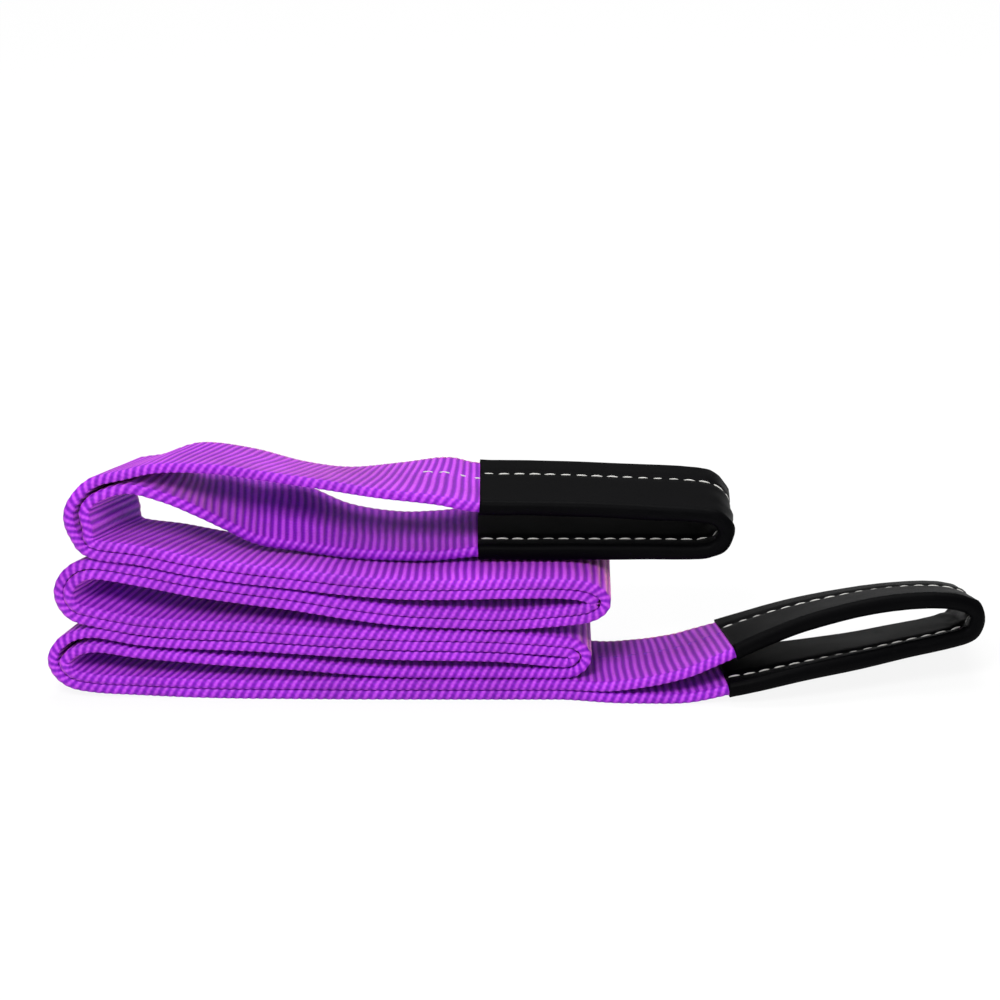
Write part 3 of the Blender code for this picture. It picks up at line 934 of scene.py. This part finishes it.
# ---------------------------------------------------------------- the set
def add_floor():
    """A white floor that a camera ray sees as plain white, apart from the object's soft shadow."""
    material, tree = material_tree("white_paper")
    paper = node(tree, "ShaderNodeBsdfDiffuse", {"Color": linear("#f4f4f4")})
    glow = node(tree, "ShaderNodeEmission", {"Color": (1, 1, 1, 1), "Strength": 1.0})
    ray = node(tree, "ShaderNodeLightPath")
    seen = node(tree, "ShaderNodeMath", {0: ray.outputs["Is Camera Ray"], 1: 0.9}, operation="MULTIPLY")
    mixed = node(tree, "ShaderNodeMixShader", {0: seen.outputs[0], 1: paper.outputs[0], 2: glow.outputs[0]})
    node(tree, "ShaderNodeOutputMaterial", {"Surface": mixed.outputs[0]})
    mesh = bpy.data.meshes.new("floor")
    size = 3.0
    corners = [(-size, -size, 0), (size, -size, 0), (size, size, 0), (-size, size, 0)]
    mesh.from_pydata(corners, [], [(0, 1, 2, 3)])
    mesh.materials.append(material)
    floor = bpy.data.objects.new("floor", mesh)
    bpy.context.scene.collection.objects.link(floor)


def add_light(name, place, aim, size, power):
    """A square softbox, in metres and watts."""
    light = bpy.data.lights.new(name, "AREA")
    light.shape = "SQUARE"
    light.size = size
    light.energy = power
    obj = bpy.data.objects.new(name, light)
    obj.location = place
    obj.rotation_euler = (Vector(aim) - Vector(place)).to_track_quat("-Z", "Y").to_euler()
    bpy.context.scene.collection.objects.link(obj)


def add_set():
    """The floor, a white room that is bright to the eye but lights the sling softly, and two softboxes."""
    add_floor()
    world = bpy.data.worlds.new("soft_room")
    world.use_nodes = True
    tree = world.node_tree
    tree.nodes.clear()
    ray = node(tree, "ShaderNodeLightPath")
    seen = node(
        tree,
        "ShaderNodeMath",
        {0: ray.outputs["Is Camera Ray"], 1: ray.outputs["Is Transmission Ray"]},
        operation="MAXIMUM",
    )
    strength = node(
        tree, "ShaderNodeMapRange", {"Value": seen.outputs[0], "To Min": 0.34, "To Max": 1.0}
    )
    sky = node(tree, "ShaderNodeBackground", {"Color": (1, 1, 1, 1), "Strength": strength.outputs[0]})
    node(tree, "ShaderNodeOutputWorld", {"Surface": sky.outputs[0]})
    bpy.context.scene.world = world
    middle = (0.0, 0.0, 0.03)
    add_light("front_softbox", (-0.22, -0.66, 0.8), middle, size=0.35, power=8.7)
    add_light("overhead_softbox", (0.05, 0.25, 0.85), middle, size=0.5, power=6.1)
    bpy.context.scene.view_settings.view_transform = "Standard"


def add_camera():
    """A long lens, a little above the sling, square to its front."""
    camera = bpy.data.cameras.new("camera")
    camera.lens = 250.0
    camera.sensor_width = 36.0
    width_seen = 0.2646
    distance = width_seen * camera.lens / camera.sensor_width
    aim = Vector((-0.0042, 0.0, 0.051)) + Vector(SHIFT)
    tilt = math.radians(22.0)
    obj = bpy.data.objects.new("camera", camera)
    obj.location = aim + distance * Vector((0.0, -math.cos(tilt), math.sin(tilt)))
    obj.rotation_euler = (math.radians(90.0) - tilt, 0.0, 0.0)
    bpy.context.scene.collection.objects.link(obj)
    bpy.context.scene.camera = obj


# ---------------------------------------------------------------- building it
def cad_shift():
    """How far the CAD model's frame lies from the route's: run 1's lower ply is flat at its right end."""
    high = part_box("run_1_lower_ply")[1]
    right = STATIONS[-1] * MM - TOUCH / 2
    back = PLACE_Y["run_1"] * MM + WEB_WIDTH / 2
    return np.array([high[0] - right, high[1] - back, 0.0])


PATH, MARKS = whole_route()
SHIFT = cad_shift()
add_camera()
add_set()
LENGTHS = along_path(PATH)
bottom_start, bottom_end = (LENGTHS[i] for i in MARKS["bottom_eye"])
top_start, top_end = (LENGTHS[i] for i in MARKS["top_eye"])

web = violet_web()
nylon = black_sleeve()
white = thread_material("white_polyester_thread", "#bdbcb8")
violet = thread_material("violet_polyester_thread", "#7a2cb4")
ribs = rib_tree()
# The web is one closed loop, so the outer ply runs on past the path's start.
double_path = np.vstack([PATH, PATH[1:]])
double_lengths = along_path(double_path)

strips = {
    "bottom_eye_bight": (bottom_start + TUCK, bottom_end - TUCK),
    "inner_ply": (bottom_end - TUCK, top_start + TUCK),
    "top_eye_bight": (top_start + TUCK, top_end - TUCK),
    "outer_ply": (top_end - TUCK, bottom_start + TUCK + double_lengths[len(PATH) - 1]),
}
for name, (start, end) in strips.items():
    piece, length = web_strip(name, double_path, double_lengths, start, end)
    bake_tree(piece, ribs, {"Rib Height": RIB_HEIGHT, "Material": web})
    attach(piece, "root")
    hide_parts(*STRIP_NODES[name])

STITCH_TREE = stitch_tree()
STITCH = stitch_mesh("stitch_pattern", STITCH_LENGTH, STITCH_WIDTH, STITCH_HEIGHT)
for eye, start, end in (("top_eye", top_start, top_end), ("bottom_eye", bottom_start, bottom_end)):
    name = eye + "_wear_sleeve"
    piece, rows = sleeve_object(name, PATH, LENGTHS, start, end, SLEEVE_SEEDS[eye])
    piece.data.materials.append(nylon)
    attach(piece, "root")
    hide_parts(eye + "_sleeve")
    for face, side, across in (("outer", 1, OUTER_SEAM), ("inner", -1, INNER_SEAM)):
        height = side * LEG / 2 * (1 - SEAM_DEPTH)
        name = "%s_%s_stitches" % (eye, face)
        seam = stitch_row(name, rows[SEAM_INSET:-SEAM_INSET], across, height, white)
        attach(seam, "root")
        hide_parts("%s_sleeve_%s_thread" % (eye, face))

for name, start, end, colour in (
    ("top_seam", top_end, top_end + TOP_SEAM_LENGTH, white),
    ("bottom_seam", bottom_end, bottom_end + BOTTOM_SEAM_LENGTH, violet),
):
    rows = resampled(PATH, LENGTHS, np.arange(start, end, SEAM_STEP))
    seam = stitch_row(name + "_stitches", rows, WEB_SEAM, PLY / 2, colour)
    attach(seam, "root")
    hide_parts(name + "_thread")
bpy.data.objects.remove(STITCH, do_unlink=True)
